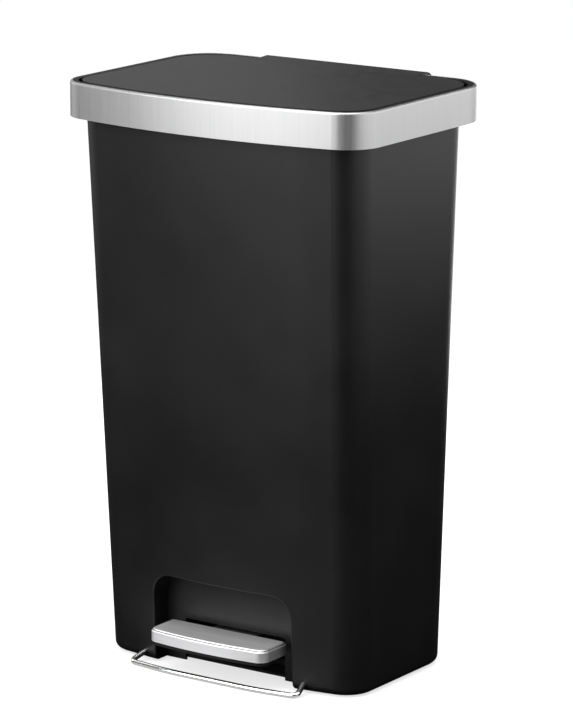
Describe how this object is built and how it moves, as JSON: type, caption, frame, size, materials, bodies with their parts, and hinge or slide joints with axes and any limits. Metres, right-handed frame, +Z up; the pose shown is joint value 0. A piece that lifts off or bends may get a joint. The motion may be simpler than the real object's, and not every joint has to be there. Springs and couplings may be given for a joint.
{
  "type": "pedal trash can",
  "caption": "Tall step-on waste bin: tapered bowed-front body, brushed rim band, hinged lid, foot pedal in a toe recess and a wire anti-tip bar.",
  "frame": {"origin": "on the floor, under the middle of the overall width and depth", "axes": "+X to the right of someone facing the pedal's side from behind it, front towards -Y, +Z up; width along X, depth along Y"},
  "size_m": [0.396, 0.3016, 0.6516],
  "materials": {
    "body_plastic": "black moulded plastic, fine satin grain",
    "lid_plastic": "black moulded plastic, fine matte grain",
    "frame_plastic": "plain black moulded plastic",
    "band_steel": "stainless steel with a fine upright grain",
    "pedal_steel": "stainless steel brushed across the pedal",
    "chrome_wire": "bright chromed wire",
    "plated_steel": "zinc-plated steel",
    "screw_steel": "zinc-plated screw",
    "bearing_plastic": "natural acetal",
    "rubber": "black rubber"
  },
  "bodies": {
    "can": {"outer_body": "body_plastic", "rim_band": "band_steel", "rim_collar": "frame_plastic", "bag_ring": "frame_plastic", "hinge_housing": "frame_plastic", "hinge_pin_right": "plated_steel", "hinge_pin_left": "plated_steel", "hinge_screws": "screw_steel", "rod_channel_cover": "frame_plastic", "channel_screws": "screw_steel", "rod_guide": "bearing_plastic", "pedal_axle": "plated_steel", "axle_block_right": "frame_plastic", "axle_block_left": "frame_plastic", "block_screws": "screw_steel", "lever_stop": "rubber", "base_plate": "frame_plastic", "rubber_feet": "rubber", "base_screws": "screw_steel", "stabiliser_bar": "chrome_wire", "bar_clip_right": "frame_plastic", "bar_clip_left": "frame_plastic", "clip_screws": "screw_steel"},
    "lid": {"lid_panel": "lid_plastic", "lid_liner": "frame_plastic", "lid_bumpers": "rubber", "liner_screws": "screw_steel", "lid_crank": "plated_steel", "crank_pin": "plated_steel", "crank_screws": "screw_steel"},
    "rod": {"push_rod": "plated_steel", "rod_yoke": "bearing_plastic", "rod_clevis": "bearing_plastic"},
    "pedal": {"pedal_lever": "plated_steel", "lever_pin": "plated_steel", "lever_bushes": "bearing_plastic", "pedal_pad": "frame_plastic", "pedal_cover": "pedal_steel", "pedal_screws": "screw_steel"}
  },
  "joints": [
    {"name": "lid_hinge", "type": "hinge", "parent": "can", "child": "lid", "pos_m": [0, 0.1372, 0.638], "axis": [-1, 0, 0], "range_deg": [0, 78]},
    {"name": "rod_slide", "type": "slide", "parent": "can", "child": "rod", "axis": [0, 0.0229, 0.9997], "range_m": [0, 0.03283]},
    {"name": "pedal_hinge", "type": "hinge", "parent": "can", "child": "pedal", "pos_m": [0, -0.0358, 0.035], "axis": [1, 0, 0], "range_deg": [0, 15.38]}
  ],
  "couplings": [
    {"joint": "rod_slide", "follows": "lid_hinge", "m_per_rad": 0.024045},
    {"joint": "pedal_hinge", "follows": "lid_hinge", "ratio": 0.19649}
  ]
}
